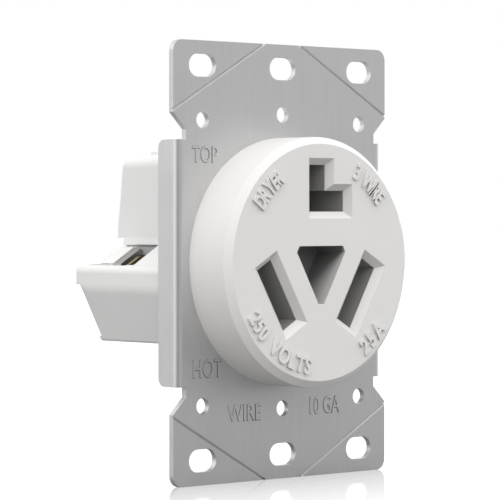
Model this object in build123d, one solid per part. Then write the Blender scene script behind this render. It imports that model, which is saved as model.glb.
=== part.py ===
from build123d import *
import math
import os

# Straight blade receptacle, flush type, three blades, without a grounding contact.
# X is to the right seen from the front, Y points to the rear and Z is up.
# The origin is the centre of the mounting strap's front face.

# Round front, which the widths behind it follow
BARREL_R = 26.75
BASE_STEP = 0.15
BASE_R = BARREL_R - BASE_STEP
BARREL_SEAT = 3.25
BARREL_HOLE_R = BARREL_R - BARREL_SEAT

# Mounting strap: one steel sheet with two folded flanges
STRAP_T = 1.27
STRAP_W = 62.4
STRAP_H = 93.8
EAR_H = 15.25
STRAP_EAR_EDGE = STRAP_H / 2 - EAR_H
STRAP_EAR_R = 2.4
NECK_OVER_HOLE = 2.5
NECK_STEP_Z = BARREL_HOLE_R + NECK_OVER_HOLE
FLANGE_ROOM = 3.4
FLANGE_OUT = BASE_R + FLANGE_ROOM
FLANGE_REACH = 6.2
FLANGE_BEND_R = 1.5
FLANGE_CORNER_R = 1.8
NECK_INSET = 2.3
NECK_HALF_W = FLANGE_OUT - NECK_INSET
BOX_SLOT_L = 7.6
BOX_SLOT_W = 4.87
BOX_SCREW_DX = 46.04
BOX_SCREW_EDGE = 5.23
BOX_SCREW_DZ = STRAP_H - 2 * BOX_SCREW_EDGE
PLATE_SCREW_DX = 46.04
PLATE_SCREW_EDGE = 16.735
PLATE_SCREW_DZ = STRAP_H - 2 * PLATE_SCREW_EDGE
CENTRE_SCREW_EDGE = 15.15
CENTRE_SCREW_DZ = STRAP_H - 2 * CENTRE_SCREW_EDGE
PLATE_SCREW_R = 1.72
SCORE_W = 0.6
SCORE_D = 0.35
SCORE_IN_X = 5.3
SCORE_NOTCH = 0.6

# Face cover: a bevelled barrel moulded with a guide around each blade slot
FACE_Y = -12.15
BARREL_BEVEL = 1.45
FACE_WALL = 3.0
BARREL_WALL = 2.6
SPIGOT_PLAY = 0.15
SLOT_LEAD = 1.45
GUIDE_WALL = 1.6
HOT_Z = -6.8
HOT_TURN = 30.0
HOT_SLOT_L = 14.8
HOT_SLOT_W = 4.35
ELL_LEFT = -2.2
ELL_RIGHT = 2.3
ELL_TOP = 20.8
ELL_BOTTOM = 10.85
ELL_FOOT_RIGHT = 7.75
ELL_FOOT_TOP = 15.3
RECESS_TOP = 3.5
RECESS_SHOULDER = 2.2
RECESS_BOTTOM = -8.85
RECESS_TOP_HALF = 6.4
RECESS_SHOULDER_HALF = 7.1
RECESS_BOTTOM_HALF = 0.85
RECESS_DEPTH = 8.6

# Screws that hold the rear body, strap and face cover together
FIX_X = 13.6
FIX_Z = 6.2
FIX_LOW_Z = -13.2
FIX_R = 1.75
FIX_CLEAR = 0.2
FIX_BITE = 0.02
FIX_HEAD_R = 3.1
FIX_HEAD_H = 2.2
FIX_HEAD_Y = 24.0
FIX_BOSS_WALL = 1.35
FIX_TIP_Y = -7.6
FIX_TURNS = (17.0, -17.0, 0.0)

# Rear body: round base, upper block, sloped shoulders and lower block
BASE_REAR = 6.3
LOWER_STEP = 1.8
LOWER_HALF_W = BASE_R + LOWER_STEP
SHOULDER_STEP = 3.9
SHOULDER_HALF_W = LOWER_HALF_W - SHOULDER_STEP
UPPER_HALF_W = 17.4
UPPER_TOP = 22.9
UPPER_BOTTOM = 5.1
UPPER_REAR_TOP = 35.8
UPPER_REAR_BOTTOM = 37.9
UPPER_DRAFT_RISE = 0.9
UPPER_CORNER_R = 4.5
UPPER_EDGE_R = 2.6
SHOULDER_TOP = 3.45
SHOULDER_BOTTOM = -0.7
SHOULDER_REAR = 32.6
SHOULDER_CORNER_R = 0.8
CORE_INSET = 0.8
CORE_REAR = 36.2
CORE_CORNER_R = 6.0
GROOVE_H = 0.35
GROOVE_D = 0.5
NECK_FLARE = 0.25
LOWER_FRONT = 3.2
LOWER_REAR = 40.4
LOWER_BOTTOM = -17.5
LOWER_CORNER_R = 7.0
LOWER_EDGE_R = 1.8
LOWER_TURN_Z = -6.0
LOWER_TURN_R = 5.0
LOWER_DRAFT = 22.5
LIP_BOTTOM = -5.1
LIP_DEPTH = 2.1
LIP_FADE = 0.6
RIM_TOP = -16.4
RIM_OUT = 0.75
RIM_EDGE_R = 0.8

# Terminals: contact tail, square nut, clamp plate and screw on one axis
WEB_Y = 23.1
WEB_T = 0.9
CHAMBER_REAR = 28.4
CHAMBER_CEILING = 1.3
CLAMP_T = 2.35
CLAMP_SEAT = 0.1
NUT_SIDE = 6.4
NUT_T = 3.0
TERM_R = 2.0
TERM_HOLE_CLEAR = 0.35
TERM_HEAD_R = 3.7
TERM_HEAD_H = 2.5
TERM_TIP = 1.0
TERM_ACCESS_R = 4.3
DRIVE_SLOT_W = 0.9
DRIVE_SLOT_D = 1.2
HEAD_ROUND = 0.4
TIP_BEVEL = 0.35
TAIL_WALL = 0.3
HOT_TAIL_W = 11.6
HOT_TAIL_OUT = SHOULDER_HALF_W - TAIL_WALL
HOT_TAIL_IN = HOT_TAIL_OUT - HOT_TAIL_W
HOT_TERM_X = HOT_TAIL_OUT - HOT_TAIL_W / 2
HOT_TERM_Z = -8.4
HOT_TERM_STEP = 6.74
HOT_X = HOT_TERM_X - HOT_TERM_STEP
HOT_SCREW_TURNS = {-1: -50.0, 1: -10.0}
NEUTRAL_SCREW_TURN = 35.0
HOT_TAIL_TOP = 1.3
HOT_TAIL_BOTTOM = -13.0
NEUTRAL_TERM_X = -7.4
NEUTRAL_TERM_Z = 13.8
NEUTRAL_TAIL_LEFT = -11.3
NEUTRAL_TAIL_RIGHT = -3.5
NEUTRAL_TAIL_BOTTOM = 9.4
TAIL_EDGE_GAP = 0.1
TAIL_PLAY = 0.25
CLAMP_CORNER_SHARE = 0.912584
CLAMP_EDGE_GAP = 0.15
GRIP_RIB_W = 0.6
GRIP_RIB_H = 0.3
GRIP_RIB_PITCH = 1.8
WIRE_FRONT = 20.9
NEUTRAL_RIM_H = 1.1
NEUTRAL_RIM_WALL = 1.0

# Blade contacts: two sprung jaws each, with a steel clip around them
BLADE_T = 1.6
JAW_T = 0.8
JAW_FRONT = 4.0
JAW_NIP = 8.0
JAW_MOUTH = 1.0
JAW_BACK = 1.1
JAW_STRAIGHT = 4.0
JAW_NIP_GAP = 1.2
HOT_JAW_L = 11.4
NEUTRAL_JAW_BOTTOM = 11.2
NEUTRAL_JAW_TOP = 20.2
NEUTRAL_STEP_Z = 15.6
CLIP_T = 0.5
CLIP_GAP = 0.1
CLIP_PLAY = 0.25
CLIP_ROUND = 0.9
CLIP_FRONT = 8.0
CLIP_REAR = 10.0
POCKET_GAP = 0.4


def along_y(sketch, y0, y1):
    """Solid with this X-Z outline from y0 to y1."""
    plane = Plane(origin=(0, y0, 0), x_dir=(1, 0, 0), z_dir=(0, -1, 0))
    return extrude(plane * sketch, amount=y1 - y0, dir=(0, 1, 0))


def rod_y(radius, x, z, y0, y1):
    """Round bar along Y."""
    return along_y(Pos(x, z) * Circle(radius), y0, y1)


def block(x0, x1, y0, y1, z0, z1):
    """Box between two corners."""
    return Pos((x0 + x1) / 2, (y0 + y1) / 2, (z0 + z1) / 2) * Box(x1 - x0, y1 - y0, z1 - z0)


def outline(*points):
    """Filled outline in X and Z."""
    return Polygon(*points, align=None)


def mirrored(solid):
    """The same form on the other side of the Y-Z plane."""
    return mirror(solid, about=Plane.YZ)


def flared_slot(sketch, sketch_wide, y_mouth, y_end):
    """Slot with a lead-in bevel from the wide outline to the narrow one."""
    front = Plane(origin=(0, y_mouth, 0), x_dir=(1, 0, 0), z_dir=(0, -1, 0))
    inner = Plane(origin=(0, y_mouth + SLOT_LEAD, 0), x_dir=(1, 0, 0), z_dir=(0, -1, 0))
    lead = loft([(front * sketch_wide).faces()[0], (inner * sketch).faces()[0]], ruled=True)
    return lead + along_y(sketch, y_mouth + SLOT_LEAD, y_end)


def ell_outline(grow):
    """Outline of the L slot, grown by the same amount on every side."""
    return outline(
        (ELL_LEFT - grow, ELL_TOP + grow),
        (ELL_LEFT - grow, ELL_BOTTOM - grow),
        (ELL_FOOT_RIGHT + grow, ELL_BOTTOM - grow),
        (ELL_FOOT_RIGHT + grow, ELL_FOOT_TOP + grow),
        (ELL_RIGHT + grow, ELL_FOOT_TOP + grow),
        (ELL_RIGHT + grow, ELL_TOP + grow),
    )


def hot_outline(side, grow):
    """Outline of a slanted slot; side is -1 at the left and 1 at the right."""
    slot = Rectangle(HOT_SLOT_W + 2 * grow, HOT_SLOT_L + 2 * grow)
    return Pos(side * HOT_X, HOT_Z) * Rot(0, 0, -side * HOT_TURN) * slot


def recess_outline(grow=0.0):
    """Outline of the three-sided recess in the middle of the face."""
    return outline(
        (-RECESS_TOP_HALF - grow, RECESS_TOP + grow),
        (-RECESS_SHOULDER_HALF - grow, RECESS_SHOULDER),
        (-RECESS_BOTTOM_HALF - grow, RECESS_BOTTOM - grow),
        (RECESS_BOTTOM_HALF + grow, RECESS_BOTTOM - grow),
        (RECESS_SHOULDER_HALF + grow, RECESS_SHOULDER),
        (RECESS_TOP_HALF + grow, RECESS_TOP + grow),
    )


def fixing_places():
    """Names and axes of the three assembly screws."""
    return {
        "upper_left": (-FIX_X, FIX_Z),
        "upper_right": (FIX_X, FIX_Z),
        "lower": (0, FIX_LOW_Z),
    }


def make_face_cover():
    """Bevelled barrel, hollow behind its face, with slot guides and screw bosses."""
    barrel = rod_y(BARREL_R, 0, 0, FACE_Y, 0)
    rim = barrel.edges().filter_by(GeomType.CIRCLE).sort_by(Axis.Y)[0]
    barrel = chamfer(rim, BARREL_BEVEL)
    spigot_r = BARREL_HOLE_R - SPIGOT_PLAY
    cover = barrel + rod_y(spigot_r, 0, 0, -1.0, STRAP_T)
    cover -= rod_y(spigot_r - BARREL_WALL, 0, 0, FACE_Y + FACE_WALL, STRAP_T + 1)
    room = rod_y(spigot_r - 0.5, 0, 0, FACE_Y + FACE_WALL - 0.5, STRAP_T)
    guides = along_y(ell_outline(GUIDE_WALL), FACE_Y + FACE_WALL - 0.5, STRAP_T)
    cup_rear = FACE_Y + RECESS_DEPTH + GUIDE_WALL
    guides += along_y(recess_outline(GUIDE_WALL), FACE_Y + FACE_WALL - 0.5, cup_rear)
    for side in (-1, 1):
        guides += along_y(hot_outline(side, GUIDE_WALL), FACE_Y + FACE_WALL - 0.5, STRAP_T)
    for x, z in fixing_places().values():
        guides += rod_y(FIX_R + FIX_BOSS_WALL, x, z, FACE_Y + FACE_WALL - 0.5, STRAP_T)
    cover += guides & room
    cover -= flared_slot(ell_outline(0), ell_outline(SLOT_LEAD), FACE_Y, STRAP_T + 1)
    for side in (-1, 1):
        cover -= flared_slot(hot_outline(side, 0), hot_outline(side, SLOT_LEAD), FACE_Y, STRAP_T + 1)
    cover -= along_y(recess_outline(), FACE_Y, FACE_Y + RECESS_DEPTH)
    for x, z in fixing_places().values():
        cover -= rod_y(FIX_R + FIX_BITE, x, z, FIX_TIP_Y - 0.5, STRAP_T + 1)
    return cover


def ear_outline():
    """Half of the strap's flat outline, from the centre line to its right side."""
    half_w = STRAP_W / 2
    half_h = STRAP_H / 2
    neck_in = half_w - NECK_HALF_W
    return [
        (0, half_h),
        (half_w, half_h),
        (half_w, STRAP_EAR_EDGE),
        (NECK_HALF_W, STRAP_EAR_EDGE - neck_in),
        (NECK_HALF_W, NECK_STEP_Z),
        (0, NECK_STEP_Z),
    ]


def make_mounting_strap():
    """Flat strap with break-off ears, screw slots and two flanges folded to the rear."""
    ear = outline(*ear_outline())
    ear = ear + mirror(ear, about=Plane.YZ)
    corners = [v for v in ear.vertices() if abs(v.Z) < 1e-6 and v.Y > STRAP_H / 2 - 0.01]
    corners = [v for v in corners if abs(v.X) > STRAP_W / 2 - 0.01]
    ear = fillet(corners, STRAP_EAR_R)
    flat = along_y(ear, 0, STRAP_T)
    flat += mirror(flat, about=Plane.XY)
    fold_x = FLANGE_OUT - FLANGE_BEND_R
    flat += block(-fold_x, fold_x, 0, STRAP_T, -NECK_STEP_Z, NECK_STEP_Z)
    strap = flat
    side = block(FLANGE_OUT - STRAP_T, FLANGE_OUT, FLANGE_BEND_R, FLANGE_REACH, -NECK_STEP_Z, NECK_STEP_Z)
    ends = side.edges().filter_by(Axis.X).sort_by(Axis.Y)[-2:]
    side = fillet(ends, FLANGE_CORNER_R)
    bend = Pos(fold_x, FLANGE_BEND_R, 0) * Cylinder(FLANGE_BEND_R, 2 * NECK_STEP_Z)
    bend -= Pos(fold_x, FLANGE_BEND_R, 0) * Cylinder(FLANGE_BEND_R - STRAP_T, 2 * NECK_STEP_Z)
    bend &= block(fold_x, FLANGE_OUT, 0, FLANGE_BEND_R, -NECK_STEP_Z, NECK_STEP_Z)
    strap += side + bend
    strap += mirrored(side) + mirrored(bend)
    strap -= rod_y(BARREL_HOLE_R, 0, 0, -1, STRAP_T + 1)
    slot = SlotOverall(BOX_SLOT_L, BOX_SLOT_W)
    for up in (-1, 1):
        for x in (-BOX_SCREW_DX / 2, 0, BOX_SCREW_DX / 2):
            strap -= along_y(Pos(x, up * BOX_SCREW_DZ / 2) * slot, -1, STRAP_T + 1)
        for x in (-PLATE_SCREW_DX / 2, PLATE_SCREW_DX / 2):
            strap -= rod_y(PLATE_SCREW_R, x, up * PLATE_SCREW_DZ / 2, -1, STRAP_T + 1)
        strap -= rod_y(PLATE_SCREW_R, 0, up * CENTRE_SCREW_DZ / 2, -1, STRAP_T + 1)
    start = Vector(STRAP_W / 2 + 1, 0, STRAP_EAR_EDGE)
    run = Vector(SCORE_IN_X, 0, STRAP_H / 2) - start
    across = Plane(origin=start, x_dir=(0, 1, 0), z_dir=run)
    vee = across * Polygon((-SCORE_D, -SCORE_W), (SCORE_D, 0), (-SCORE_D, SCORE_W), align=None)
    groove = extrude(vee, amount=run.length, dir=run.normalized())
    nick = Pos(SCORE_IN_X, STRAP_H / 2) * Rot(0, 0, 45) * Rectangle(SCORE_NOTCH, SCORE_NOTCH)
    cuts = groove + along_y(nick, -1, STRAP_T + 1)
    cuts += mirrored(cuts)
    strap -= cuts
    strap -= mirror(cuts, about=Plane.XY)
    return strap


def slope_z(x):
    """Height of the sloped shoulder at this distance from the middle."""
    fall = (SHOULDER_TOP - SHOULDER_BOTTOM) / (SHOULDER_HALF_W - UPPER_HALF_W)
    return SHOULDER_TOP - (x - UPPER_HALF_W) * fall


def hot_tail_outline(inset):
    """Outline of the right terminal chamber; a positive inset makes it smaller."""
    out = HOT_TAIL_OUT - inset
    top = HOT_TAIL_TOP - inset
    fall = (SHOULDER_TOP - SHOULDER_BOTTOM) / (SHOULDER_HALF_W - UPPER_HALF_W)
    x_turn = UPPER_HALF_W + (SHOULDER_TOP - TAIL_EDGE_GAP - inset - top) / fall
    return outline(
        (HOT_TAIL_IN + inset, HOT_TAIL_BOTTOM + inset),
        (out, HOT_TAIL_BOTTOM + inset),
        (out, slope_z(out) - TAIL_EDGE_GAP - inset),
        (x_turn, top),
        (HOT_TAIL_IN + inset, top),
    )


def clamp_corner_r():
    """Corner radius of the clamp plates: a share of what fits into the tip under the sloped shoulder."""
    fall = (SHOULDER_TOP - SHOULDER_BOTTOM) / (SHOULDER_HALF_W - UPPER_HALF_W)
    rise = slope_z(UPPER_HALF_W + TAIL_PLAY) - CLAMP_EDGE_GAP - (HOT_TAIL_TOP - TAIL_PLAY)
    return CLAMP_CORNER_SHARE * rise / (1 + fall + math.hypot(1, fall))


def hot_plate_outline():
    """Outline of the right clamp plate, whose outer edge follows the sloped shoulder."""
    left = HOT_TAIL_IN + TAIL_PLAY
    right = HOT_TAIL_OUT - TAIL_PLAY
    corner = UPPER_HALF_W + TAIL_PLAY
    return outline(
        (left, HOT_TAIL_BOTTOM + TAIL_PLAY),
        (right, HOT_TAIL_BOTTOM + TAIL_PLAY),
        (right, slope_z(right) - CLAMP_EDGE_GAP),
        (corner, slope_z(corner) - CLAMP_EDGE_GAP),
        (corner, HOT_TAIL_TOP - TAIL_PLAY),
        (left, HOT_TAIL_TOP - TAIL_PLAY),
    )


def neutral_tail_outline(inset):
    """Outline of the neutral terminal chamber; a positive inset makes it smaller."""
    return outline(
        (NEUTRAL_TAIL_LEFT + inset, NEUTRAL_TAIL_BOTTOM + inset),
        (NEUTRAL_TAIL_RIGHT - inset, NEUTRAL_TAIL_BOTTOM + inset),
        (NEUTRAL_TAIL_RIGHT - inset, UPPER_TOP - TAIL_EDGE_GAP),
        (NEUTRAL_TAIL_LEFT + inset, UPPER_TOP - TAIL_EDGE_GAP),
    )


def upper_block():
    """Upper part of the rear body, with a leaning rear face and rounded corners."""
    side_view = Polygon(
        (STRAP_T, UPPER_BOTTOM),
        (UPPER_REAR_BOTTOM, UPPER_BOTTOM),
        (UPPER_REAR_TOP, UPPER_TOP),
        (STRAP_T, UPPER_TOP + UPPER_DRAFT_RISE),
        align=None,
    )
    body = extrude(Plane.YZ * side_view, amount=UPPER_HALF_W, both=True)
    rear_edges = [e for e in body.edges() if e.center().Y > UPPER_REAR_TOP - 1]
    upright = [e for e in rear_edges if abs(e.center().X) > UPPER_HALF_W - 0.1]
    upright = [e for e in upright if e.bounding_box().size.Z > UPPER_TOP / 2]
    body = fillet(upright, UPPER_CORNER_R)
    crown = body.faces().sort_by(Axis.Z)[-1]
    top_edges = [e for e in crown.edges() if e.center().Y > STRAP_T + 0.1]
    return fillet(top_edges, UPPER_EDGE_R)


def shoulders():
    """Sloped shoulders beside the wire entries, a flared neck above them and the core between."""
    neck = outline(
        (0, UPPER_BOTTOM + 1),
        (UPPER_HALF_W, UPPER_BOTTOM + 1),
        (UPPER_HALF_W, UPPER_BOTTOM),
        (UPPER_HALF_W + NECK_FLARE, SHOULDER_TOP),
        (SHOULDER_HALF_W, slope_z(SHOULDER_HALF_W)),
        (SHOULDER_HALF_W, LIP_BOTTOM),
        (0, LIP_BOTTOM),
    )
    half = along_y(neck, STRAP_T, SHOULDER_REAR)
    upright = half.edges().filter_by(Axis.Z).group_by(Axis.Y)[-1].sort_by(Axis.X)[-1]
    half = fillet(upright, SHOULDER_CORNER_R)
    core_h = UPPER_BOTTOM - SHOULDER_BOTTOM + 2
    core = Rectangle(2 * (UPPER_HALF_W - CORE_INSET), CORE_REAR - STRAP_T)
    core = Pos(0, (CORE_REAR + STRAP_T) / 2, SHOULDER_BOTTOM - 1) * core
    core = fillet(core.vertices().group_by(Axis.Y)[-1], CORE_CORNER_R)
    return half + mirrored(half) + extrude(core, amount=core_h, dir=(0, 0, 1))


def drafted_prism(half_w, rear, top):
    """Prism down to the foot with round rear corners, whose walls draw in all round."""
    spare = LOWER_FRONT - LOWER_BOTTOM
    plan = Rectangle(2 * half_w, rear + spare)
    plan = Pos(0, (rear - spare) / 2, top) * fillet(plan.vertices().group_by(Axis.Y)[-1], LOWER_CORNER_R)
    body = extrude(plan, amount=top - LOWER_BOTTOM, dir=(0, 0, -1), taper=LOWER_DRAFT)
    foot = body.faces().filter_by(Axis.Z).sort_by(Axis.Z)[0]
    first = foot.edges().sort_by(Axis.Y)[0]
    body = fillet([e for e in foot.edges() if e.center().Y > first.center().Y + 0.1], RIM_EDGE_R)
    reach = half_w + 1
    return body & block(-reach, reach, LOWER_FRONT, rear + 1, LOWER_BOTTOM - 1, top + 1)


def lower_block():
    """Wide lower part of the rear body: upright crown, drafted walls, rear lip and foot rim."""
    length = LOWER_REAR - LOWER_FRONT
    plan = Rectangle(2 * LOWER_HALF_W, length)
    plan = fillet(plan.vertices().group_by(Axis.Y)[-1], LOWER_CORNER_R)
    plan = Pos(0, LOWER_FRONT + length / 2, SHOULDER_BOTTOM) * plan
    body = extrude(plan, amount=SHOULDER_BOTTOM - LOWER_TURN_Z, dir=(0, 0, -1))
    body += drafted_prism(LOWER_HALF_W, LOWER_REAR, LOWER_TURN_Z)
    for level, radius in ((LOWER_TURN_Z, LOWER_TURN_R), (SHOULDER_BOTTOM, LOWER_EDGE_R)):
        ring = [e for e in body.edges() if abs(e.bounding_box().min.Z - level) < 0.001]
        ring = [e for e in ring if e.bounding_box().size.Z < 0.001 and e.center().Y > LOWER_FRONT + 0.1]
        body = fillet(ring, radius)
    reach = LOWER_HALF_W + 1
    for z0, z1, rear in (
        (RIM_TOP, LIP_BOTTOM, LOWER_REAR - LIP_DEPTH),
        (LOWER_BOTTOM - 1, RIM_TOP, LOWER_REAR - LIP_DEPTH + RIM_OUT),
    ):
        waste = block(-reach, reach, LOWER_FRONT - 1, LOWER_REAR + 1, z0, z1)
        body -= waste - drafted_prism(LOWER_HALF_W + LIP_FADE, rear, LIP_BOTTOM)
    return body


def contact_room():
    """Front pockets, terminal chambers and wire entries, all open where wires and blades go."""
    rooms = []
    jaw_half = BLADE_T / 2 + JAW_T + JAW_BACK + CLIP_T + POCKET_GAP
    pocket = Rectangle(2 * jaw_half, HOT_JAW_L + 2 * (CLIP_GAP + CLIP_T + POCKET_GAP))
    for side in (-1, 1):
        turned = Pos(side * HOT_X, HOT_Z) * Rot(0, 0, -side * HOT_TURN) * pocket
        rooms.append(along_y(turned, STRAP_T - 1, WEB_Y + WEB_T))
    ceiling = SHOULDER_BOTTOM - CHAMBER_CEILING
    chamber = block(HOT_TAIL_IN, HOT_TAIL_OUT, STRAP_T - 1, CHAMBER_REAR, HOT_TAIL_BOTTOM, ceiling)
    chamber += along_y(hot_tail_outline(0), WIRE_FRONT, CHAMBER_REAR)
    x_in = UPPER_HALF_W
    entry = outline(
        (x_in, SHOULDER_TOP + 0.1),
        (SHOULDER_HALF_W + 1, SHOULDER_TOP + 0.1),
        (SHOULDER_HALF_W + 1, SHOULDER_BOTTOM),
        (HOT_TAIL_OUT, SHOULDER_BOTTOM),
        (HOT_TAIL_OUT, SHOULDER_BOTTOM - 2),
        (x_in, SHOULDER_BOTTOM - 2),
    )
    chamber += along_y(entry, WIRE_FRONT, CHAMBER_REAR)
    access = rod_y(TERM_ACCESS_R, HOT_TERM_X, HOT_TERM_Z, CHAMBER_REAR - 1, LOWER_REAR + 1)
    rooms += [chamber, mirrored(chamber), access, mirrored(access)]
    neutral_pocket = outline(
        (-jaw_half, NEUTRAL_JAW_BOTTOM - POCKET_GAP),
        (ELL_FOOT_RIGHT + POCKET_GAP, NEUTRAL_JAW_BOTTOM - POCKET_GAP),
        (ELL_FOOT_RIGHT + POCKET_GAP, NEUTRAL_STEP_Z),
        (jaw_half, NEUTRAL_STEP_Z),
        (jaw_half, NEUTRAL_JAW_TOP + CLIP_GAP + CLIP_T + POCKET_GAP),
        (-jaw_half, NEUTRAL_JAW_TOP + CLIP_GAP + CLIP_T + POCKET_GAP),
    )
    rooms.append(along_y(neutral_pocket, STRAP_T - 1, WEB_Y + WEB_T))
    x0, x1, z0 = NEUTRAL_TAIL_LEFT, NEUTRAL_TAIL_RIGHT, NEUTRAL_TAIL_BOTTOM
    rooms.append(block(x0, x1, STRAP_T - 1, CHAMBER_REAR, z0, NEUTRAL_JAW_TOP))
    rooms.append(block(x0, x1, WIRE_FRONT, CHAMBER_REAR, z0, UPPER_TOP + 4))
    rooms.append(rod_y(TERM_ACCESS_R, NEUTRAL_TERM_X, NEUTRAL_TERM_Z, CHAMBER_REAR - 1, LOWER_REAR + 1))
    rooms.append(along_y(recess_outline(GUIDE_WALL + POCKET_GAP), STRAP_T - 1, STRAP_T + 1))
    return rooms


def make_rear_body():
    """Moulded rear body that carries the contacts, with its wire entries and screw wells."""
    body = rod_y(BASE_R, 0, 0, STRAP_T, BASE_REAR)
    body += upper_block() + shoulders() + lower_block()
    wall = NEUTRAL_RIM_WALL
    rim_left = NEUTRAL_TAIL_LEFT - wall
    rim_right = NEUTRAL_TAIL_RIGHT + wall
    rim_top = UPPER_TOP + NEUTRAL_RIM_H
    body += block(rim_left, rim_right, WIRE_FRONT - wall, CHAMBER_REAR + wall, UPPER_TOP - 2, rim_top)
    for z, x_in, x_out in (
        (SHOULDER_TOP, UPPER_HALF_W - GROOVE_D, SHOULDER_HALF_W),
        (SHOULDER_BOTTOM + GROOVE_H / 2, SHOULDER_HALF_W - GROOVE_D, LOWER_HALF_W),
    ):
        groove = block(x_in, x_out, WIRE_FRONT, SHOULDER_REAR, z - GROOVE_H, z)
        body -= groove + mirrored(groove)
    for room in contact_room():
        body -= room
    for x, z in fixing_places().values():
        body -= rod_y(FIX_R + FIX_CLEAR, x, z, STRAP_T - 1, FIX_HEAD_Y + 1)
        body -= rod_y(FIX_HEAD_R + FIX_CLEAR, x, z, FIX_HEAD_Y, LOWER_REAR + 1)
    return body


def jaw(side, width_low, width_high):
    """One stamped jaw in its own frame: thickness along X, depth along Y, blade width along Z."""
    nip = JAW_NIP_GAP / 2
    wide = BLADE_T / 2 + JAW_BACK
    mouth = BLADE_T / 2 + JAW_MOUTH
    inner = [(wide, WEB_Y + WEB_T), (wide, WEB_Y - JAW_STRAIGHT), (nip, JAW_NIP), (mouth, JAW_FRONT)]
    outer = [(x + JAW_T, y) for x, y in reversed(inner)]
    strip = Polygon(*[(side * x, y) for x, y in inner + outer], align=None)
    return Pos(0, 0, width_low) * extrude(strip, amount=width_high - width_low, dir=(0, 0, 1))


def clip(width_low, width_high):
    """Steel clip over the waist of a pair of jaws, closed at the top end of the jaws."""
    inside = JAW_NIP_GAP / 2 + JAW_T + CLIP_PLAY
    top = width_high + CLIP_GAP
    shell = block(-inside - CLIP_T, inside + CLIP_T, CLIP_FRONT, CLIP_REAR, width_low, top + CLIP_T)
    shell -= block(-inside, inside, CLIP_FRONT - 1, CLIP_REAR + 1, width_low - 1, top)
    corners = shell.edges().filter_by(Axis.Y).group_by(Axis.Z)[-1]
    return fillet(corners, CLIP_T * CLIP_ROUND)


def terminal_bore(x, z):
    """Clearance hole for a terminal screw, through tail and clamp plate."""
    return rod_y(TERM_R + TERM_HOLE_CLEAR, x, z, JAW_FRONT, CHAMBER_REAR + 1)


def place_hot(solid, side):
    """Turn and move a form made in the jaw frame to a slanted slot."""
    return Pos(side * HOT_X, 0, HOT_Z) * Rot(0, side * HOT_TURN, 0) * solid


def make_hot_contact(side):
    """Brass contact of a slanted slot, with its terminal tail."""
    half = HOT_JAW_L / 2
    jaws = jaw(-1, -half, half) + jaw(1, -half, half)
    web_half = BLADE_T / 2 + JAW_BACK + JAW_T
    web = block(-web_half, web_half, WEB_Y, WEB_Y + WEB_T, -half, half)
    tail = along_y(hot_tail_outline(TAIL_PLAY), WEB_Y, WEB_Y + WEB_T)
    if side < 0:
        tail = mirrored(tail)
    contact = place_hot(jaws + web, side) + tail
    return contact - terminal_bore(side * HOT_TERM_X, HOT_TERM_Z)


def make_neutral_contact():
    """Brass contact of the L slot: a wide and a narrow jaw, with its terminal tail."""
    jaws = jaw(-1, NEUTRAL_JAW_BOTTOM, NEUTRAL_JAW_TOP) + jaw(1, NEUTRAL_STEP_Z, NEUTRAL_JAW_TOP)
    web_half = BLADE_T / 2 + JAW_BACK + JAW_T
    web_left = NEUTRAL_TAIL_LEFT + TAIL_PLAY
    web = block(web_left, web_half, WEB_Y, WEB_Y + WEB_T, NEUTRAL_JAW_BOTTOM, NEUTRAL_JAW_TOP)
    tail = along_y(neutral_tail_outline(TAIL_PLAY), WEB_Y, WEB_Y + WEB_T)
    contact = Pos((ELL_LEFT + ELL_RIGHT) / 2, 0, 0) * jaws + web + tail
    return contact - terminal_bore(NEUTRAL_TERM_X, NEUTRAL_TERM_Z)


def make_clamp_plate(tail, x, z):
    """Plate that the terminal screw draws against the wire; it has round corners and grip ribs."""
    y0 = CHAMBER_REAR - CLAMP_SEAT - CLAMP_T
    plate = along_y(tail, y0, y0 + CLAMP_T)
    corner_r = clamp_corner_r()
    plate = fillet(plate.edges().filter_by(Axis.Y), corner_r)
    box = plate.bounding_box()
    left = box.min.X + corner_r
    right = box.max.X - corner_r
    for step in (-2, -1, 1, 2):
        middle = z + step * GRIP_RIB_PITCH
        plate += block(left, right, y0 - GRIP_RIB_H, y0, middle - GRIP_RIB_W / 2, middle + GRIP_RIB_W / 2)
    return plate - rod_y(TERM_R + TERM_HOLE_CLEAR, x, z, y0 - 1, CHAMBER_REAR + 1)


def make_terminal_nut(x, z, turn):
    """Square nut seated on the front of the contact's tail."""
    side_view = Pos(x, z) * Rot(0, 0, turn) * Rectangle(NUT_SIDE, NUT_SIDE)
    nut = along_y(side_view, WEB_Y - NUT_T, WEB_Y)
    return nut - rod_y(TERM_R + FIX_BITE, x, z, WEB_Y - NUT_T - 1, WEB_Y + 1)


def slotted_screw(x, z, shank_r, head_r, head_h, seat_y, tip_y, turn):
    """Slotted pan-head screw; the head lies behind seat_y and the tip points forward."""
    head = rod_y(head_r, x, z, seat_y, seat_y + head_h)
    rim = head.edges().filter_by(GeomType.CIRCLE).sort_by(Axis.Y)[-1]
    head = fillet(rim, head_h * HEAD_ROUND)
    shank = rod_y(shank_r, x, z, tip_y, seat_y)
    point = shank.edges().filter_by(GeomType.CIRCLE).sort_by(Axis.Y)[0]
    shank = chamfer(point, shank_r * TIP_BEVEL)
    slot = Pos(x, z) * Rot(0, 0, turn) * Rectangle(3 * head_r, DRIVE_SLOT_W)
    return head + shank - along_y(slot, seat_y + head_h - DRIVE_SLOT_D, seat_y + head_h + 1)


def make_terminal_screw(x, z, turn):
    """Terminal screw with its head on the clamp plate."""
    seat = CHAMBER_REAR - CLAMP_SEAT
    return slotted_screw(x, z, TERM_R, TERM_HEAD_R, TERM_HEAD_H, seat, WEB_Y - NUT_T - TERM_TIP, turn)


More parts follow.
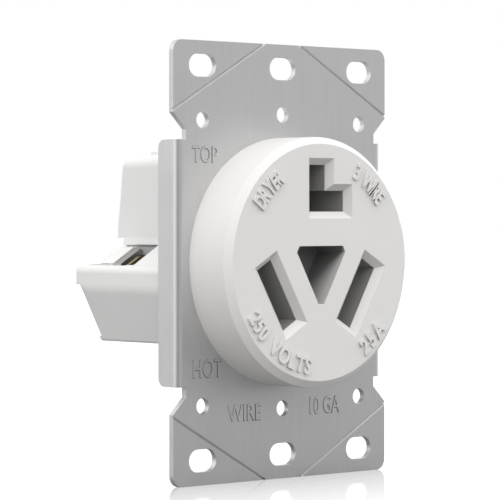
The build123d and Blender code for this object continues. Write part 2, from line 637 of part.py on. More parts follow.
def make_parts():
    """Every piece of the receptacle under its name."""
    neutral_x = (ELL_LEFT + ELL_RIGHT) / 2
    neutral_plate = neutral_tail_outline(TAIL_PLAY)
    parts = {
        "face_cover": make_face_cover(),
        "mounting_strap": make_mounting_strap(),
        "rear_body": make_rear_body(),
        "neutral_contact": make_neutral_contact(),
        "neutral_contact_clip": Pos(neutral_x, 0, 0) * clip(NEUTRAL_STEP_Z, NEUTRAL_JAW_TOP),
        "neutral_clamp_plate": make_clamp_plate(neutral_plate, NEUTRAL_TERM_X, NEUTRAL_TERM_Z),
        "neutral_terminal_nut": make_terminal_nut(NEUTRAL_TERM_X, NEUTRAL_TERM_Z, 0),
        "neutral_terminal_screw": make_terminal_screw(NEUTRAL_TERM_X, NEUTRAL_TERM_Z, NEUTRAL_SCREW_TURN),
    }
    hot_clip = clip(-HOT_JAW_L / 2, HOT_JAW_L / 2)
    hot_plate = make_clamp_plate(hot_plate_outline(), HOT_TERM_X, HOT_TERM_Z)
    for word, side in (("left", -1), ("right", 1)):
        x = side * HOT_TERM_X
        parts[f"hot_contact_{word}"] = make_hot_contact(side)
        parts[f"hot_contact_clip_{word}"] = place_hot(hot_clip, side)
        parts[f"hot_clamp_plate_{word}"] = hot_plate if side > 0 else mirrored(hot_plate)
        parts[f"hot_terminal_nut_{word}"] = make_terminal_nut(x, HOT_TERM_Z, -side * HOT_TURN)
        parts[f"hot_terminal_screw_{word}"] = make_terminal_screw(x, HOT_TERM_Z, HOT_SCREW_TURNS[side])
    for (place, (x, z)), turn in zip(fixing_places().items(), FIX_TURNS):
        parts[f"assembly_screw_{place}"] = slotted_screw(
            x, z, FIX_R, FIX_HEAD_R, FIX_HEAD_H, FIX_HEAD_Y, FIX_TIP_Y, turn
        )
    return parts


os.makedirs("parts", exist_ok=True)
for name, solid in make_parts().items():
    export_step(solid, f"parts/{name}.step")
    print(name, round(solid.volume, 1))
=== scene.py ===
import math

import bmesh
import bpy
from mathutils import Matrix, Vector


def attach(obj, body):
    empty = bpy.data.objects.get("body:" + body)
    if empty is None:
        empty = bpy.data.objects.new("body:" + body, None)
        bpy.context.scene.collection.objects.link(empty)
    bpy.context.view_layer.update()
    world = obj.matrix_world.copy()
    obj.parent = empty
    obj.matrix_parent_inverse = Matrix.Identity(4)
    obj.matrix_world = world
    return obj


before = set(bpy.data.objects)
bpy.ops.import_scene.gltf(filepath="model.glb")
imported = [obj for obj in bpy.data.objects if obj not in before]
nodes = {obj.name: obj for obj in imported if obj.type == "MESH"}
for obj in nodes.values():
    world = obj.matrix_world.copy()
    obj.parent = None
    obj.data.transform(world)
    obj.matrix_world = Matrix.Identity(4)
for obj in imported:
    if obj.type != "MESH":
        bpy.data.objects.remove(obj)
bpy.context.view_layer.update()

MM = 0.001

# Camera of the photograph, in the part's own frame
CAMERA_PLACE = (-0.39907, -0.42850, 0.01127)
CAMERA_YAW = 42.2736
CAMERA_PITCH = 0.8553
CAMERA_LENS = 194.87
CAMERA_SENSOR = 36.0
CAMERA_CLIP = (0.01, 20.0)

# Raised letters on the face's rim, in millimetres
FACE_Y = -12.15
LETTER_H = 3.6
LETTER_INNER_R = 20.35
LETTER_RAISE = 0.5
LETTER_SINK = 0.05
LETTER_BOLD = 0.17
# Width of a space as a share of the letter height
LETTER_SPACE = 0.5
# Capital height as a share of the font size, steps of each curve, and the reach that welds its points
CAPITAL_SHARE = 0.73
CURVE_STEPS = 4
WELD_REACH = 1e-7
# Words on the rim: name, text, first and last angle in degrees from +X, upright or not, and the letter
# width as a share of the font's own
RIM_WORDS = (
    ("face_word_use", "DRYER", 144.0, 125.0, True, 0.62),
    ("face_word_type", "3 WIRE", 61.0, 39.0, True, 0.7),
    ("face_word_volts", "250 VOLTS", -149.5, -101.0, False, 0.78),
    ("face_word_amps", "25A", -55.0, -41.0, False, 0.85),
)

# Struck words on the strap, in millimetres: skins of the line and its ridge, boldness, and the ridge's
# narrowing and shift; the line's dark colour is painted shade and the ridge's lighter one a painted
# highlight
STAMP_SKIN = 0.03
STAMP_RIDGE_SKIN = 0.06
STAMP_BOLD = 0.08
STAMP_RIM = 0.12
STAMP_SHIFT = 0.12
STAMP_LIFT = 0.06
# Words on the strap: name, text, x, z, height and width
STRAP_WORDS = (
    ("strap_word_wire", "WIRE", -11.1, -33.9, 3.7, 9.6),
    ("strap_word_gauge", "10 GA", 12.2, -33.4, 3.9, 9.0),
    ("strap_word_hot", "HOT", -21.8, -24.2, 4.0, 8.2),
    ("strap_word_top", "TOP", -22.4, 21.2, 3.6, 7.2),
)

# Skin of moulded plastic: noise scales, tint by the flow marks, roughness by the grain
FLOW_SCALE = 55.0
FLOW_TINT = 0.03
FLOW_BASE = 0.985
GRAIN_DETAIL = 2.0
GRAIN_ROUGHNESS = 0.12
PLASTIC_BUMP = 0.05
PLASTIC_IOR = 1.47
# Skin of rolled metal: noise scales and details, stretch along the rolling, roughness by the clouds
CLOUD_SCALE = 120.0
CLOUD_DETAIL = 4.0
CLOUD_ROUGHNESS = 2.0
ROLLING_SCALE = 900.0
ROLLING_STRETCH = (1.0, 1.0, 0.08)
METAL_BUMP = 0.06
# Both skins: middle of a noise, height of the bump, and samples of the softened edges
NOISE_MIDDLE = 0.5
BUMP_DEPTH = 0.00001
EDGE_SAMPLES = 6

# Level of the painted shade on the blade slots' walls, and the limit of the normal's y that makes a wall
SLOT_PAINTED_SHADE_LEVEL = 0.38
SLOT_WALL_LIMIT = 0.4
# Painted shadow in the recess, by depth over drop from its top edge, as light from above would cast it
RECESS_PAINTED_SHADOW = {"From Min": 0.2, "From Max": 0.95, "To Min": 0.5, "To Max": 1.2}
# Terminal chambers, as lowest and highest corners, and the level of the painted shade on their walls
CHAMBERS = (
    ((-24.35, 20.7, -14.0), (-12.5, 28.3, 3.3)),
    ((12.5, 20.7, -14.0), (24.35, 28.3, 3.3)),
    ((-11.5, 20.7, 9.0), (-3.3, 28.3, 24.2)),
)
CHAMBER_PAINTED_SHADE_LEVEL = 0.5
# Level of the painted shade on the sides of the raised letters, and the limit of the normal's y that makes a
# side
LETTER_PAINTED_SHADE_LEVEL = 0.65
LETTER_SIDE_LIMIT = 0.5
# Level of the painted shade halfway round the bends of the strap's flanges, which dims their reflection
BEND_PAINTED_SHADE_LEVEL = 0.46

# Studio light by direction: weights of x, y, z and their products
STUDIO_BASE = 1.373
STUDIO_LIGHT = {
    "x": 0.95,
    "y": 0.32,
    "z": 0.35,
    "xy": 0.89,
    "yz": -1.19,
    "zx": -1.84,
    "xx": 0.71,
    "yy": -0.44,
    "zz": 0.03,
}
STUDIO_LEAST = 0.06
# What reflections see of the room: its level, then zones as azimuth, outer and inner angle, and level
GLOSS_LEVEL = 0.7
GLOSS_ZONES = ((213.0, 62.0, 22.0, 1.6), (135.0, 75.0, 15.0, 1.95), (312.0, 60.0, 20.0, 0.7))

# Floor: height in millimetres, size in metres, brightness for the camera, colour that lights the object,
# and its mirror image, which fades over a reach in metres
FLOOR_Z = -46.9
FLOOR_SIZE = 3.0
FLOOR_GLOW = 0.78
FLOOR_PAPER = 0.17
FLOOR_BOUNCE = 0.25
MIRROR_REACH = 0.055
MIRROR_STRENGTH = 0.46
MIRROR_ROUGHNESS = 0.06


def new_group(name, inputs, outputs):
    """Shader node group with named sockets; returns the group and its two ends."""
    group = bpy.data.node_groups.new(name, "ShaderNodeTree")
    for label, kind, value in inputs:
        socket = group.interface.new_socket(label, in_out="INPUT", socket_type=kind)
        socket.default_value = value
    for label, kind in outputs:
        group.interface.new_socket(label, in_out="OUTPUT", socket_type=kind)
    start = group.nodes.new("NodeGroupInput")
    end = group.nodes.new("NodeGroupOutput")
    return group, start, end


def math_node(tree, operation, a, b=None, c=None):
    """Math node with sockets or numbers as its inputs."""
    node = tree.nodes.new("ShaderNodeMath")
    node.operation = operation
    for socket, value in zip(node.inputs, (a, b, c)):
        if value is None:
            continue
        if isinstance(value, (int, float)):
            socket.default_value = value
        else:
            tree.links.new(value, socket)
    return node.outputs[0]


def vector_node(tree, operation, a, b=None):
    """Vector math node with sockets as its inputs; returns the node."""
    node = tree.nodes.new("ShaderNodeVectorMath")
    node.operation = operation
    tree.links.new(a, node.inputs[0])
    if b is not None:
        tree.links.new(b, node.inputs[1])
    return node


def scaled_color(tree, color, factor):
    """A colour multiplied by a factor."""
    node = vector_node(tree, "SCALE", color)
    tree.links.new(factor, node.inputs["Scale"])
    return node.outputs[0]


def parts_of(tree, vector):
    """The three parts of a vector."""
    split = tree.nodes.new("ShaderNodeSeparateXYZ")
    tree.links.new(vector, split.inputs[0])
    return split.outputs


def object_place(tree):
    """Place on the piece, in its own coordinates."""
    return tree.nodes.new("ShaderNodeTexCoord").outputs["Object"]


def true_normal(tree):
    """Direction that the surface faces."""
    return tree.nodes.new("ShaderNodeNewGeometry").outputs["True Normal"]


def scaled_noise(tree, vector, scale, detail=3.0, stretch=(1, 1, 1)):
    """Noise on object coordinates, stretched along an axis if asked."""
    mapping = tree.nodes.new("ShaderNodeMapping")
    mapping.inputs["Scale"].default_value = stretch
    tree.links.new(vector, mapping.inputs["Vector"])
    noise = tree.nodes.new("ShaderNodeTexNoise")
    noise.inputs["Detail"].default_value = detail
    if isinstance(scale, (int, float)):
        noise.inputs["Scale"].default_value = scale
    else:
        tree.links.new(scale, noise.inputs["Scale"])
    tree.links.new(mapping.outputs["Vector"], noise.inputs["Vector"])
    return noise.outputs["Fac"]


def build_moulded_skin():
    """Faint flow marks and eggshell grain of moulded plastic."""
    group, start, end = new_group(
        "moulded_skin",
        [
            ("Color", "NodeSocketColor", (0.8, 0.8, 0.8, 1)),
            ("Grain scale", "NodeSocketFloat", 2600.0),
            ("Roughness", "NodeSocketFloat", 0.4),
        ],
        [("Color", "NodeSocketColor"), ("Roughness", "NodeSocketFloat"), ("Height", "NodeSocketFloat")],
    )
    place = object_place(group)
    flow = scaled_noise(group, place, FLOW_SCALE)
    grain = scaled_noise(group, place, start.outputs["Grain scale"], GRAIN_DETAIL)
    shade = math_node(group, "MULTIPLY_ADD", flow, FLOW_TINT, FLOW_BASE)
    rough = math_node(group, "MULTIPLY_ADD", grain, GRAIN_ROUGHNESS, start.outputs["Roughness"])
    group.links.new(scaled_color(group, start.outputs["Color"], shade), end.inputs["Color"])
    group.links.new(rough, end.inputs["Roughness"])
    group.links.new(grain, end.inputs["Height"])
    return group


def build_slot_shade():
    """Mask of painted shade for the slots and recess of the face: a share on lead-in bevels, most on walls
    near the mouth.
    """
    group, start, end = new_group(
        "slot_shade",
        [
            ("Front", "NodeSocketFloat", -0.01214),
            ("Bevel end", "NodeSocketFloat", -0.01069),
            ("Radius", "NodeSocketFloat", 0.0232),
            ("Bevel share", "NodeSocketFloat", 0.25),
            ("Sky lift", "NodeSocketFloat", 1.8),
            ("Reach", "NodeSocketFloat", 0.006),
            ("Ease", "NodeSocketFloat", 0.3),
            ("Recess half width", "NodeSocketFloat", 0.00818),
            ("Recess top", "NodeSocketFloat", 0.0036),
            ("Recess taper", "NodeSocketFloat", 0.5656),
        ],
        [("Mask", "NodeSocketFloat")],
    )
    x, y, z = parts_of(group, object_place(group))
    normal = parts_of(group, true_normal(group))
    # Within the face, behind its front: walls, and all that lies behind the lead-in bevels
    squares = math_node(group, "MULTIPLY_ADD", x, x, math_node(group, "MULTIPLY", z, z))
    inside = math_node(group, "LESS_THAN", math_node(group, "SQRT", squares), start.outputs["Radius"])
    behind = math_node(group, "GREATER_THAN", y, start.outputs["Front"])
    inside = math_node(group, "MULTIPLY", inside, behind)
    wall = math_node(group, "LESS_THAN", math_node(group, "ABSOLUTE", normal[1]), SLOT_WALL_LIMIT)
    deep = math_node(group, "GREATER_THAN", y, start.outputs["Bevel end"])
    wall = math_node(group, "MAXIMUM", wall, deep)
    depth = math_node(group, "SUBTRACT", y, start.outputs["Bevel end"])
    depth = math_node(group, "DIVIDE", depth, start.outputs["Reach"])
    depth.node.use_clamp = True
    ease = math_node(group, "SUBTRACT", 1.0, math_node(group, "MULTIPLY", depth, start.outputs["Ease"]))
    full = math_node(group, "MULTIPLY", wall, ease)
    # The tapered recess has its own painted shadow, which deepens towards its top edge
    drop = math_node(group, "SUBTRACT", start.outputs["Recess top"], z)
    flank = math_node(group, "MULTIPLY", drop, start.outputs["Recess taper"])
    flank = math_node(group, "ADD", math_node(group, "ABSOLUTE", x), flank)
    middle = math_node(group, "LESS_THAN", flank, start.outputs["Recess half width"])
    middle = math_node(group, "MULTIPLY", middle, math_node(group, "GREATER_THAN", drop, 0.0))
    sunk = math_node(group, "DIVIDE", math_node(group, "SUBTRACT", y, start.outputs["Front"]), drop)
    dusk = group.nodes.new("ShaderNodeMapRange")
    for label, value in RECESS_PAINTED_SHADOW.items():
        dusk.inputs[label].default_value = value
    group.links.new(sunk, dusk.inputs["Value"])
    extra = math_node(group, "SUBTRACT", dusk.outputs["Result"], full)
    full = math_node(group, "MULTIPLY_ADD", extra, middle, full)
    # The lead-in bevels get a share of painted shade, less where they face up towards the light
    lift = math_node(group, "MULTIPLY", normal[2], start.outputs["Sky lift"])
    lift.node.use_clamp = True
    shaded = math_node(group, "SUBTRACT", 1.0, lift)
    share = math_node(group, "MULTIPLY", start.outputs["Bevel share"], shaded)
    full = math_node(group, "MAXIMUM", full, share)
    group.links.new(math_node(group, "MULTIPLY", full, inside), end.inputs["Mask"])
    return group


def build_chamber_shade():
    """Mask of a box in the object's own coordinates, for painted shade: 1 inside, fading to 0 at its walls.
    """
    group, start, end = new_group(
        "chamber_shade",
        [
            ("Middle", "NodeSocketVector", (0, 0, 0)),
            ("Half size", "NodeSocketVector", (1, 1, 1)),
            ("Fade", "NodeSocketFloat", 0.0001),
        ],
        [("Mask", "NodeSocketFloat")],
    )
    offset = vector_node(group, "SUBTRACT", object_place(group), start.outputs["Middle"]).outputs[0]
    reach = vector_node(group, "ABSOLUTE", offset).outputs[0]
    x, y, z = parts_of(group, vector_node(group, "SUBTRACT", start.outputs["Half size"], reach).outputs[0])
    least = math_node(group, "MINIMUM", math_node(group, "MINIMUM", x, y), z)
    mask = math_node(group, "DIVIDE", least, start.outputs["Fade"])
    mask.node.use_clamp = True
    group.links.new(mask, end.inputs["Mask"])
    return group


def build_letter_shade():
    """Mask of painted shade on the raised letters' upright sides, strongest on those that face down and to
    the right, away from the light.
    """
    group, start, end = new_group(
        "letter_shade",
        [("Away", "NodeSocketVector", (0.6, 0.0, -0.8)), ("Base", "NodeSocketFloat", 0.35)],
        [("Mask", "NodeSocketFloat")],
    )
    facing = true_normal(group)
    aim = vector_node(group, "DOT_PRODUCT", facing, start.outputs["Away"]).outputs["Value"]
    forward = math_node(group, "ABSOLUTE", parts_of(group, facing)[1])
    side = math_node(group, "LESS_THAN", forward, LETTER_SIDE_LIMIT)
    lean = math_node(group, "ADD", aim, start.outputs["Base"])
    lean.node.use_clamp = True
    group.links.new(math_node(group, "MULTIPLY", side, lean), end.inputs["Mask"])
    return group


def build_bend_shade():
    """Mask of painted shade on the flanges' bends in the object's own coordinates, strongest halfway round
    each bend.
    """
    group, start, end = new_group(
        "bend_shade",
        [
            ("Axis x", "NodeSocketFloat", 0.0285),
            ("Bend radius", "NodeSocketFloat", 0.0015),
            ("Half height", "NodeSocketFloat", 0.0261),
            ("Sharpness", "NodeSocketFloat", 4.0),
        ],
        [("Mask", "NodeSocketFloat")],
    )
    x, y, z = parts_of(group, object_place(group))
    aside = math_node(group, "SUBTRACT", math_node(group, "ABSOLUTE", x), start.outputs["Axis x"])
    aside = math_node(group, "DIVIDE", aside, start.outputs["Bend radius"])
    ahead = math_node(group, "SUBTRACT", start.outputs["Bend radius"], y)
    ahead = math_node(group, "DIVIDE", ahead, start.outputs["Bend radius"])
    turn = math_node(group, "MULTIPLY", math_node(group, "MULTIPLY", aside, 2.0), ahead)
    turn.node.use_clamp = True
    mask = math_node(group, "POWER", turn, start.outputs["Sharpness"])
    near = math_node(group, "LESS_THAN", math_node(group, "ABSOLUTE", z), start.outputs["Half height"])
    group.links.new(math_node(group, "MULTIPLY", mask, near), end.inputs["Mask"])
    return group


def build_rolled_metal():
    """Rolling grain and faint cloudiness of plated sheet metal."""
    group, start, end = new_group(
        "rolled_metal",
        [
            ("Color", "NodeSocketColor", (0.6, 0.6, 0.6, 1)),
            ("Roughness", "NodeSocketFloat", 0.4),
            ("Cloud", "NodeSocketFloat", 0.06),
            ("Grain", "NodeSocketFloat", 0.08),
        ],
        [("Color", "NodeSocketColor"), ("Roughness", "NodeSocketFloat"), ("Height", "NodeSocketFloat")],
    )
    place = object_place(group)
    cloud = scaled_noise(group, place, CLOUD_SCALE, CLOUD_DETAIL)
    grain = scaled_noise(group, place, ROLLING_SCALE, stretch=ROLLING_STRETCH)
    clouds = math_node(group, "SUBTRACT", cloud, NOISE_MIDDLE)
    clouds = math_node(group, "MULTIPLY", clouds, start.outputs["Cloud"])
    lines = math_node(group, "SUBTRACT", grain, NOISE_MIDDLE)
    lines = math_node(group, "MULTIPLY", lines, start.outputs["Grain"])
    shade = math_node(group, "ADD", math_node(group, "ADD", clouds, lines), 1.0)
    rough = math_node(group, "MULTIPLY_ADD", clouds, CLOUD_ROUGHNESS, start.outputs["Roughness"])
    group.links.new(scaled_color(group, start.outputs["Color"], shade), end.inputs["Color"])
    group.links.new(rough, end.inputs["Roughness"])
    group.links.new(grain, end.inputs["Height"])
    return group


def mask_node(tree, group):
    """A mask group as a node of a material."""
    node = tree.nodes.new("ShaderNodeGroup")
    node.node_tree = group
    return node


def darken(material, mask, level):
    """Paints shade: multiplies a material's colour down to a level where the mask is 1, as little light gets
    there.
    """
    tree = material.node_tree
    shader = tree.nodes["Principled BSDF"]
    source = shader.inputs["Base Color"].links[0].from_socket
    tone = math_node(tree, "MULTIPLY_ADD", mask, level - 1.0, 1.0)
    tree.links.new(scaled_color(tree, source, tone), shader.inputs["Base Color"])


def darken_by(material, group, level):
    """Paints shade into a material by one mask group."""
    darken(material, mask_node(material.node_tree, group).outputs["Mask"], level)


def darken_chambers(material):
    """Paints shade into the terminal chambers behind the wire entries."""
    tree = material.node_tree
    total = None
    for low, high in CHAMBERS:
        shade = mask_node(tree, CHAMBER_SHADE)
        shade.inputs["Middle"].default_value = [(a + b) / 2 * MM for a, b in zip(low, high)]
        shade.inputs["Half size"].default_value = [(b - a) / 2 * MM for a, b in zip(low, high)]
        mask = shade.outputs["Mask"]
        total = mask if total is None else math_node(tree, "MAXIMUM", total, mask)
    darken(material, total, CHAMBER_PAINTED_SHADE_LEVEL)


MOULDED_SKIN = build_moulded_skin()
ROLLED_METAL = build_rolled_metal()
SLOT_SHADE = build_slot_shade()
CHAMBER_SHADE = build_chamber_shade()
LETTER_SHADE = build_letter_shade()
BEND_SHADE = build_bend_shade()


def surface(name, group, values, metallic, bump, edge, sockets=None):
    """Principled material fed by a skin group, with a bump and softened edges."""
    material = bpy.data.materials.new(name)
    material.use_nodes = True
    tree = material.node_tree
    shader = tree.nodes["Principled BSDF"]
    skin = tree.nodes.new("ShaderNodeGroup")
    skin.node_tree = group
    for label, value in values.items():
        skin.inputs[label].default_value = value
    tree.links.new(skin.outputs["Color"], shader.inputs["Base Color"])
    tree.links.new(skin.outputs["Roughness"], shader.inputs["Roughness"])
    relief = tree.nodes.new("ShaderNodeBump")
    relief.inputs["Strength"].default_value = bump
    relief.inputs["Distance"].default_value = BUMP_DEPTH
    tree.links.new(skin.outputs["Height"], relief.inputs["Height"])
    if edge > 0:
        round_edge = tree.nodes.new("ShaderNodeBevel")
        round_edge.samples = EDGE_SAMPLES
        round_edge.inputs["Radius"].default_value = edge
        tree.links.new(round_edge.outputs["Normal"], relief.inputs["Normal"])
    tree.links.new(relief.outputs["Normal"], shader.inputs["Normal"])
    shader.inputs["Metallic"].default_value = metallic
    for label, value in (sockets or {}).items():
        shader.inputs[label].default_value = value
    return material


def plastic(name, color, roughness, edge=0.0002):
    """Satin moulded plastic."""
    values = {"Color": (*color, 1), "Roughness": roughness}
    return surface(name, MOULDED_SKIN, values, 0.0, PLASTIC_BUMP, edge, {"IOR": PLASTIC_IOR})


def metal(name, color, roughness, cloud=0.06, grain=0.08, edge=0.00012):
    """Plated or bare metal with a rolling grain."""
    values = {"Color": (*color, 1), "Roughness": roughness, "Cloud": cloud, "Grain": grain}
    return surface(name, ROLLED_METAL, values, 1.0, METAL_BUMP, edge)


FACE_WHITE = plastic("face_white", (0.69, 0.68, 0.67), 0.42)
LETTER_WHITE = plastic("letter_white", (0.69, 0.68, 0.67), 0.42, edge=0.00005)
BODY_WHITE = plastic("body_white", (0.69, 0.685, 0.68), 0.4, edge=0.0003)
STRAP_STEEL = metal("strap_steel", (0.65, 0.65, 0.65), 0.5)
# Brass colour kept dark as painted shade of the terminal chambers the contacts sit in
CONTACT_BRASS = metal("contact_brass", (0.27, 0.235, 0.115), 0.35)
SPRING_STEEL = metal("spring_steel", (0.42, 0.42, 0.43), 0.35)
PLATE_STEEL = metal("plate_steel", (0.39, 0.375, 0.355), 0.45)
SCREW_NICKEL = metal("screw_nickel", (0.66, 0.65, 0.63), 0.28)
SCREW_BRASS = metal("screw_brass", (0.76, 0.60, 0.31), 0.3)
# Painted shade and painted highlight of the struck words: a dark and a lighter copy of the strap's metal
STAMP_SHADE = metal("stamp_shade", (0.24, 0.24, 0.24), 0.6, cloud=0.02, grain=0.02, edge=0.0)
STAMP_RIDGE_HIGHLIGHT = metal("stamp_ridge_highlight", (0.68, 0.68, 0.68), 0.5, cloud=0.02, grain=0.02, edge=0.0)
# Painted shade in the face's slots, recess and lead-in bevels
darken_by(FACE_WHITE, SLOT_SHADE, SLOT_PAINTED_SHADE_LEVEL)
# Painted shade on the letters' sides that face away from the light
darken_by(LETTER_WHITE, LETTER_SHADE, LETTER_PAINTED_SHADE_LEVEL)
# Painted shade halfway round the flanges' bends, dimming their reflection
darken_by(STRAP_STEEL, BEND_SHADE, BEND_PAINTED_SHADE_LEVEL)
# Painted shade in the terminal chambers
darken_chambers(BODY_WHITE)

NODE_FINISH = {
    "face_cover": FACE_WHITE,
    "mounting_strap": STRAP_STEEL,
    "rear_body": BODY_WHITE,
    "neutral_contact": CONTACT_BRASS,
    "neutral_contact_clip": SPRING_STEEL,
    "neutral_clamp_plate": PLATE_STEEL,
    "neutral_terminal_nut": PLATE_STEEL,
    "neutral_terminal_screw": SCREW_NICKEL,
    "hot_contact": CONTACT_BRASS,
    "hot_contact_clip": SPRING_STEEL,
    "hot_clamp_plate": PLATE_STEEL,
    "hot_terminal_nut": PLATE_STEEL,
    "hot_terminal_screw": SCREW_BRASS,
    "assembly_screw": PLATE_STEEL,
}


def finish_nodes():
    """Gives every CAD node its finish; the longest matching name wins."""
    for name, obj in nodes.items():
        finish = NODE_FINISH[max((key for key in NODE_FINISH if name.startswith(key)), key=len)]
        if not obj.material_slots:
            obj.data.materials.append(finish)
        for material_slot in obj.material_slots:
            material_slot.material = finish


def text_mesh(text, height, depth, bold):
    """Text as a closed mesh in its own X-Y plane, centred across, standing on its baseline."""
    curve = bpy.data.curves.new("lettering", "FONT")
    curve.body = text
    curve.size = height / CAPITAL_SHARE
    curve.extrude = depth / 2
    curve.offset = bold
    curve.resolution_u = CURVE_STEPS
    curve.align_x = "CENTER"
    holder = bpy.data.objects.new("lettering", curve)
    bpy.context.scene.collection.objects.link(holder)
    bpy.context.view_layer.update()
    evaluated = holder.evaluated_get(bpy.context.evaluated_depsgraph_get())
    mesh = bpy.data.meshes.new_from_object(evaluated)
    bpy.data.objects.remove(holder)
    bpy.data.curves.remove(curve)
    form = bmesh.new()
    form.from_mesh(mesh)
    bmesh.ops.remove_doubles(form, verts=form.verts, dist=WELD_REACH)
    bmesh.ops.recalc_face_normals(form, faces=form.faces)
    form.to_mesh(mesh)
    form.free()
    return mesh


def extent_x(mesh):
    """Least and greatest x of a mesh."""
    across = [vertex.co.x for vertex in mesh.vertices]
    return min(across), max(across)


def stand_on_front(mesh, x, z, turn, y):
    """Turns a mesh from the X-Y plane to face the front, at (x, z), turned in that plane."""
    flat = Matrix.Rotation(math.radians(90), 4, "X")
    spin = Matrix.Rotation(math.radians(-turn), 4, "Y")
    mesh.transform(Matrix.Translation(Vector((x, y, z))) @ spin @ flat)
    return mesh


def join_meshes(name, meshes, material):
    """One object from several meshes."""
    form = bmesh.new()
    for mesh in meshes:
        form.from_mesh(mesh)
        bpy.data.meshes.remove(mesh)
    whole = bpy.data.meshes.new(name)
    form.to_mesh(whole)
    form.free()
    whole.materials.append(material)
    obj = bpy.data.objects.new(name, whole)
    bpy.context.scene.collection.objects.link(obj)
    return obj


def rim_word(name, text, first, last, upright, squeeze):
    """Raised word along the face's rim between two angles, in degrees from +X, spaced by letter width."""
    depth = (LETTER_RAISE + LETTER_SINK) * MM
    middle = (FACE_Y - (LETTER_RAISE - LETTER_SINK) / 2) * MM
    glyphs = []
    for letter in text:
        mesh = None if letter == " " else text_mesh(letter, LETTER_H * MM, depth, LETTER_BOLD * MM)
        width = LETTER_SPACE * LETTER_H * MM
        if mesh:
            mesh.transform(Matrix.Diagonal((squeeze, 1, 1, 1)))
            left, right = extent_x(mesh)
            width = right - left
            mesh.transform(Matrix.Translation((-(left + right) / 2, 0, 0)))
        glyphs.append((mesh, width))
    total = sum(width for mesh, width in glyphs)
    ends = (glyphs[0][1] + glyphs[-1][1]) / 2
    arc = abs(math.radians(last - first)) * (LETTER_INNER_R + LETTER_H / 2) * MM
    gap = (arc - (total - ends)) / (len(text) - 1)
    run = 0.0
    meshes = []
    for index, (mesh, width) in enumerate(glyphs):
        if index:
            run += glyphs[index - 1][1] / 2 + gap + width / 2
        if mesh is None:
            continue
        angle = first + (last - first) * run / arc
        radius = LETTER_INNER_R if upright else LETTER_INNER_R + LETTER_H
        spin = angle - 90 if upright else angle + 90
        x = radius * math.cos(math.radians(angle)) * MM
        z = radius * math.sin(math.radians(angle)) * MM
        meshes.append(stand_on_front(mesh, x, z, spin, middle))
    obj = join_meshes(name, meshes, LETTER_WHITE)
    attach(obj, "root")


def strap_word(name, text, x, z, height, width):
    """Word struck into the strap's front: a dark line of painted shade with a lighter ridge of painted
    highlight at its upper right.
    """
    layers = (
        ("struck", STAMP_SHADE, STAMP_BOLD, STAMP_SKIN, 0.0, 0.0),
        ("ridge", STAMP_RIDGE_HIGHLIGHT, STAMP_BOLD - STAMP_RIM, STAMP_RIDGE_SKIN, STAMP_SHIFT, STAMP_LIFT),
    )
    for label, finish, bold, proud, shift, lift in layers:
        mesh = text_mesh(text, height * MM, proud * MM, bold * MM)
        left, right = extent_x(mesh)
        mesh.transform(Matrix.Diagonal((width * MM / (right - left), 1, 1, 1)))
        stand_on_front(mesh, (x + shift) * MM, (z + lift) * MM, 0, -proud / 2 * MM)
        obj = join_meshes(name + "_" + label, [mesh], finish)
        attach(obj, "root")


def make_lettering():
    """Words on the face's rim and on the strap."""
    for word in RIM_WORDS:
        rim_word(*word)
    for word in STRAP_WORDS:
        strap_word(*word)


def make_camera():
    """Camera at the photograph's viewpoint."""
    data = bpy.data.cameras.new("camera")
    data.lens = CAMERA_LENS
    data.sensor_width = CAMERA_SENSOR
    data.clip_start, data.clip_end = CAMERA_CLIP
    camera = bpy.data.objects.new("camera", data)
    camera.location = CAMERA_PLACE
    camera.rotation_euler = (math.radians(90 - CAMERA_PITCH), 0, math.radians(-CAMERA_YAW))
    bpy.context.scene.collection.objects.link(camera)
    bpy.context.scene.camera = camera


def make_world():
    """Soft studio light that varies smoothly with direction; plain white for the camera."""
    world = bpy.data.worlds.new("studio")
    bpy.context.scene.world = world
    world.use_nodes = True
    tree = world.node_tree
    tree.nodes.clear()
    coords = tree.nodes.new("ShaderNodeTexCoord")
    axes = dict(zip("xyz", parts_of(tree, coords.outputs["Generated"])))
    total = STUDIO_BASE
    for key, weight in STUDIO_LIGHT.items():
        shape = axes[key[0]]
        if len(key) == 2:
            shape = math_node(tree, "MULTIPLY", shape, axes[key[1]])
        total = math_node(tree, "MULTIPLY_ADD", shape, weight, total)
    total = math_node(tree, "MAXIMUM", total, STUDIO_LEAST)
    mirrored = math_node(tree, "MULTIPLY", total, GLOSS_LEVEL)
    for azimuth, start, end, level in GLOSS_ZONES:
        aim = vector_node(tree, "DOT_PRODUCT", coords.outputs["Generated"])
        aim.inputs[1].default_value = (math.cos(math.radians(azimuth)), math.sin(math.radians(azimuth)), 0)
        zone = tree.nodes.new("ShaderNodeMapRange")
        zone.interpolation_type = "SMOOTHSTEP"
        zone.inputs["From Min"].default_value = math.cos(math.radians(start))
        zone.inputs["From Max"].default_value = math.cos(math.radians(end))
        zone.inputs["To Min"].default_value = 1.0
        zone.inputs["To Max"].default_value = level
        tree.links.new(aim.outputs["Value"], zone.inputs["Value"])
        mirrored = math_node(tree, "MULTIPLY", mirrored, zone.outputs["Result"])
    path = tree.nodes.new("ShaderNodeLightPath")
    choice = tree.nodes.new("ShaderNodeMix")
    tree.links.new(path.outputs["Is Glossy Ray"], choice.inputs["Factor"])
    tree.links.new(total, choice.inputs["A"])
    tree.links.new(mirrored, choice.inputs["B"])
    light = tree.nodes.new("ShaderNodeBackground")
    tree.links.new(choice.outputs["Result"], light.inputs["Strength"])
    light.inputs["Color"].default_value = (1, 1, 1, 1)
    white = tree.nodes.new("ShaderNodeBackground")
    white.inputs["Color"].default_value = (1, 1, 1, 1)
    mix = tree.nodes.new("ShaderNodeMixShader")
    tree.links.new(path.outputs["Is Camera Ray"], mix.inputs[0])
    tree.links.new(light.outputs[0], mix.inputs[1])
    tree.links.new(white.outputs[0], mix.inputs[2])
    out = tree.nodes.new("ShaderNodeOutputWorld")
    tree.links.new(mix.outputs[0], out.inputs[0])


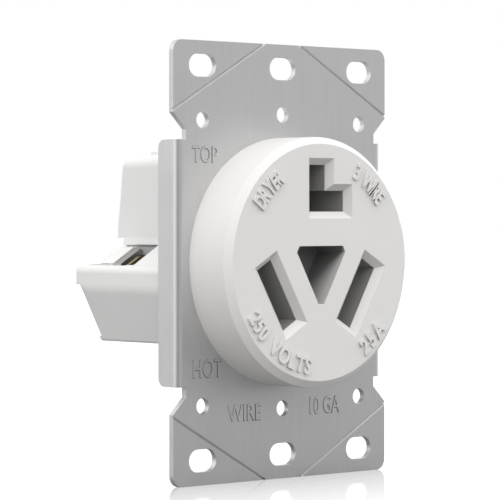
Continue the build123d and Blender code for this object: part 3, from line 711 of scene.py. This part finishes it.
def make_floor():
    """White glossy floor whose mirror image fades away from the strap's foot."""
    mesh = bpy.data.meshes.new("floor")
    half = FLOOR_SIZE / 2
    corners = [(-half, -half), (half, -half), (half, half), (-half, half)]
    mesh.from_pydata([(x, y, FLOOR_Z * MM) for x, y in corners], [], [(0, 1, 2, 3)])
    floor = bpy.data.objects.new("floor", mesh)
    bpy.context.scene.collection.objects.link(floor)
    material = bpy.data.materials.new("floor_white")
    material.use_nodes = True
    tree = material.node_tree
    tree.nodes.clear()
    back = parts_of(tree, object_place(tree))[1]
    near = math_node(tree, "MULTIPLY_ADD", back, 1 / MIRROR_REACH, 1.0)
    near.node.use_clamp = True
    path = tree.nodes.new("ShaderNodeLightPath")
    seen = math_node(tree, "MULTIPLY", near, MIRROR_STRENGTH)
    seen = math_node(tree, "MULTIPLY", seen, path.outputs["Is Camera Ray"])
    glow = tree.nodes.new("ShaderNodeEmission")
    glow.inputs["Color"].default_value = (1, 1, 1, 1)
    glow.inputs["Strength"].default_value = FLOOR_GLOW
    paper = tree.nodes.new("ShaderNodeBsdfDiffuse")
    paper.inputs["Color"].default_value = (FLOOR_PAPER, FLOOR_PAPER, FLOOR_PAPER, 1)
    white = tree.nodes.new("ShaderNodeAddShader")
    tree.links.new(glow.outputs[0], white.inputs[0])
    tree.links.new(paper.outputs[0], white.inputs[1])
    plain = tree.nodes.new("ShaderNodeBsdfDiffuse")
    plain.inputs["Color"].default_value = (FLOOR_BOUNCE, FLOOR_BOUNCE, FLOOR_BOUNCE, 1)
    gloss = tree.nodes.new("ShaderNodeBsdfGlossy")
    gloss.inputs["Roughness"].default_value = MIRROR_ROUGHNESS
    base = tree.nodes.new("ShaderNodeMixShader")
    tree.links.new(path.outputs["Is Camera Ray"], base.inputs[0])
    tree.links.new(plain.outputs[0], base.inputs[1])
    tree.links.new(white.outputs[0], base.inputs[2])
    mix = tree.nodes.new("ShaderNodeMixShader")
    tree.links.new(seen, mix.inputs[0])
    tree.links.new(base.outputs[0], mix.inputs[1])
    tree.links.new(gloss.outputs[0], mix.inputs[2])
    out = tree.nodes.new("ShaderNodeOutputMaterial")
    tree.links.new(mix.outputs[0], out.inputs[0])
    mesh.materials.append(material)


bpy.context.scene.view_settings.view_transform = "Standard"
make_camera()
make_world()
make_floor()
finish_nodes()
make_lettering()
